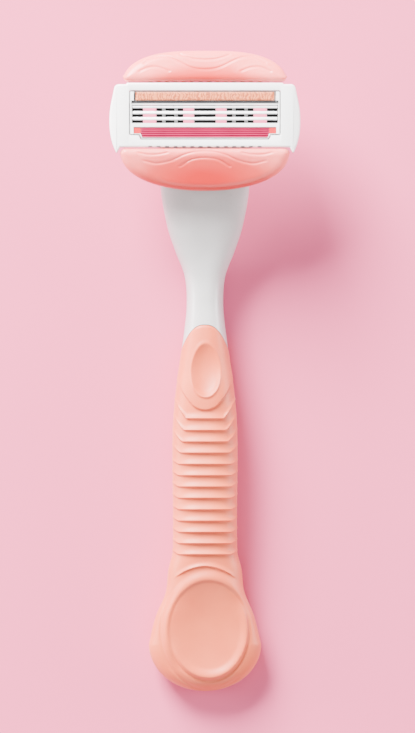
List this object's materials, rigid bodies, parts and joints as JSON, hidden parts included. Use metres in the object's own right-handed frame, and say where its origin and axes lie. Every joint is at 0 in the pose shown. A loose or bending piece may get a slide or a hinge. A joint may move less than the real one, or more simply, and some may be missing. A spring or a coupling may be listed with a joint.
{
  "type": "cartridge razor",
  "caption": "Wet shaving razor with a pivoting, detachable blade cartridge between two flexing gel bars, on a ribbed soft-grip handle with a dished paddle end",
  "frame": {"origin": "on the surface that the razor lies on with its blades facing up, under the middle of its length and width", "axes": "+Y runs along the handle toward the cartridge, +Z is the way the blades face, +X runs across the cartridge"},
  "size_m": [0.0446, 0.1502, 0.025],
  "materials": {
    "white_plastic": "moulded white ABS, satin to gloss",
    "grey_plastic": "moulded pale grey acetal",
    "peach_elastomer": "soft peach thermoplastic elastomer, matt",
    "pink_elastomer": "hot pink thermoplastic elastomer",
    "salmon_gel": "cast translucent salmon shaving gel soap",
    "strip_polymer": "extruded peach water-soluble polymer, fine grain",
    "blade_steel": "coated stainless blade steel, bright",
    "support_steel": "stamped stainless strip, dull",
    "spring_steel": "drawn spring wire"
  },
  "bodies": {
    "handle": {"handle_core": "white_plastic", "grip_overmould": "peach_elastomer", "dock": "grey_plastic", "plunger_spring": "spring_steel"},
    "plunger": {"plunger": "grey_plastic"},
    "button": {"release_button": "grey_plastic", "ejector_fork": "grey_plastic"},
    "yoke": {"yoke": "white_plastic"},
    "cartridge": {"outer_frame": "white_plastic", "blade_housing": "white_plastic", "lubricating_strip": "strip_polymer", "guard_fins": "pink_elastomer"},
    "blade_unit_1": {"blade_1": "blade_steel", "blade_support_1": "support_steel"},
    "blade_unit_2": {"blade_2": "blade_steel", "blade_support_2": "support_steel"},
    "blade_unit_3": {"blade_3": "blade_steel", "blade_support_3": "support_steel"},
    "upper_bar": {"upper_gel_bar": "salmon_gel", "upper_bar_carrier": "white_plastic"},
    "lower_bar": {"lower_gel_bar": "salmon_gel", "lower_bar_carrier": "white_plastic"}
  },
  "joints": [
    {"name": "cartridge_detach", "type": "slide", "parent": "handle", "child": "yoke", "axis": [0, 0.9397, 0.342], "range_m": [0, 0.018]},
    {"name": "cartridge_pivot", "type": "hinge", "parent": "yoke", "child": "cartridge", "pos_m": [0, 0.05851, 0.024], "axis": [-1, 0, 0], "range_deg": [0, 40], "stiffness_Nm_per_rad": 0.004, "springref_deg": -28.65},
    {"name": "plunger_slide", "type": "slide", "parent": "handle", "child": "plunger", "axis": [0, -0.9397, -0.342], "range_m": [0, 0.0031], "deforming": ["plunger_spring"]},
    {"name": "button_push", "type": "slide", "parent": "handle", "child": "button", "axis": [0, 0.9397, 0.342], "range_m": [0, 0.003], "stiffness_N_per_m": 30, "springref_m": -0.002},
    {"name": "blade_1_travel", "type": "slide", "parent": "cartridge", "child": "blade_unit_1", "axis": [0, 0, -1], "range_m": [0, 0.00025], "stiffness_N_per_m": 15, "springref_m": -0.0006},
    {"name": "blade_2_travel", "type": "slide", "parent": "cartridge", "child": "blade_unit_2", "axis": [0, 0, -1], "range_m": [0, 0.00025], "stiffness_N_per_m": 15, "springref_m": -0.0006},
    {"name": "blade_3_travel", "type": "slide", "parent": "cartridge", "child": "blade_unit_3", "axis": [0, 0, -1], "range_m": [0, 0.00025], "stiffness_N_per_m": 15, "springref_m": -0.0006},
    {"name": "upper_bar_flex", "type": "hinge", "parent": "cartridge", "child": "upper_bar", "pos_m": [0, 0.06756, 0.0222], "axis": [-1, 0, 0], "range_deg": [0, 9], "stiffness_Nm_per_rad": 0.002, "springref_deg": -11.46},
    {"name": "lower_bar_flex", "type": "hinge", "parent": "cartridge", "child": "lower_bar", "pos_m": [0, 0.05206, 0.0222], "axis": [1, 0, 0], "range_deg": [0, 9], "stiffness_Nm_per_rad": 0.002, "springref_deg": -11.46}
  ],
  "couplings": [
    {"joint": "plunger_slide", "follows": "cartridge_pivot", "m_per_rad": 0.0044}
  ]
}
